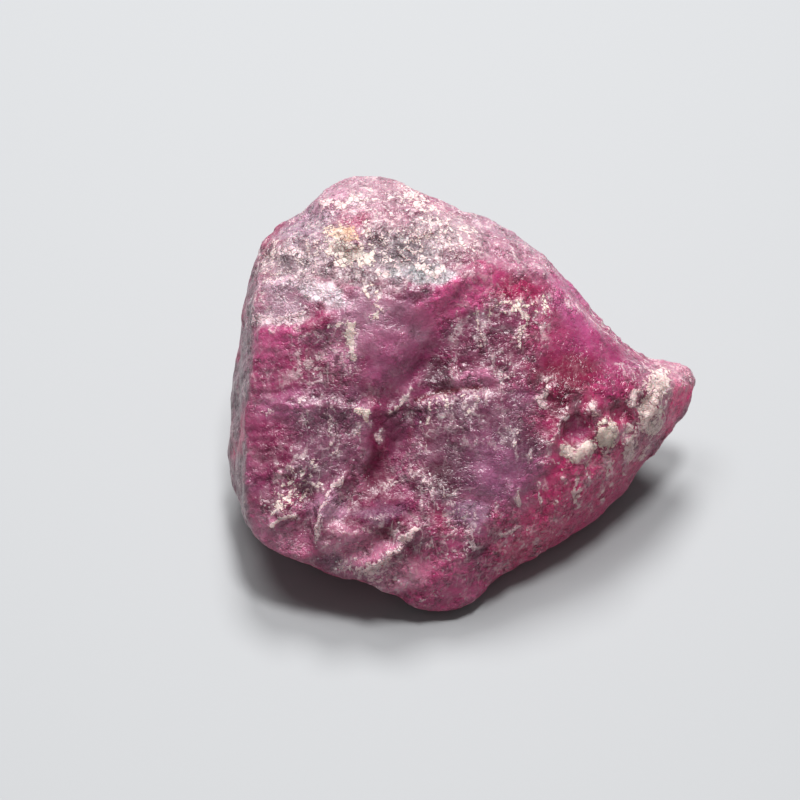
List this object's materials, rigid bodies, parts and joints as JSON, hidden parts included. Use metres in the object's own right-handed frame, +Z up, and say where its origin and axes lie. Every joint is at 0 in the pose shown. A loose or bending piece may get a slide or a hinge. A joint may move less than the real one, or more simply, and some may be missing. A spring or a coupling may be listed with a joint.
{
  "type": "raw ruby crystal",
  "caption": "Broken, weathered lump of raw ruby with a pointed end, an angled broad face, ledges and a grainy crust; a mineral specimen that rests on a flat break.",
  "frame": {"origin": "middle of the bounding box, at the height of the flat break that it rests on", "axes": "+X from the steep left flank to the pointed end, the longest way across; +Y from the broad face to the back; +Z up"},
  "size_m": [0.03, 0.0248, 0.0168],
  "materials": {
    "ruby": "frosted raspberry-red corundum, purple-grey on the broad face, with a pale grey and cream crust in its hollows"
  },
  "bodies": {
    "root": {"ruby_crystal": "ruby"}
  },
  "joints": []
}
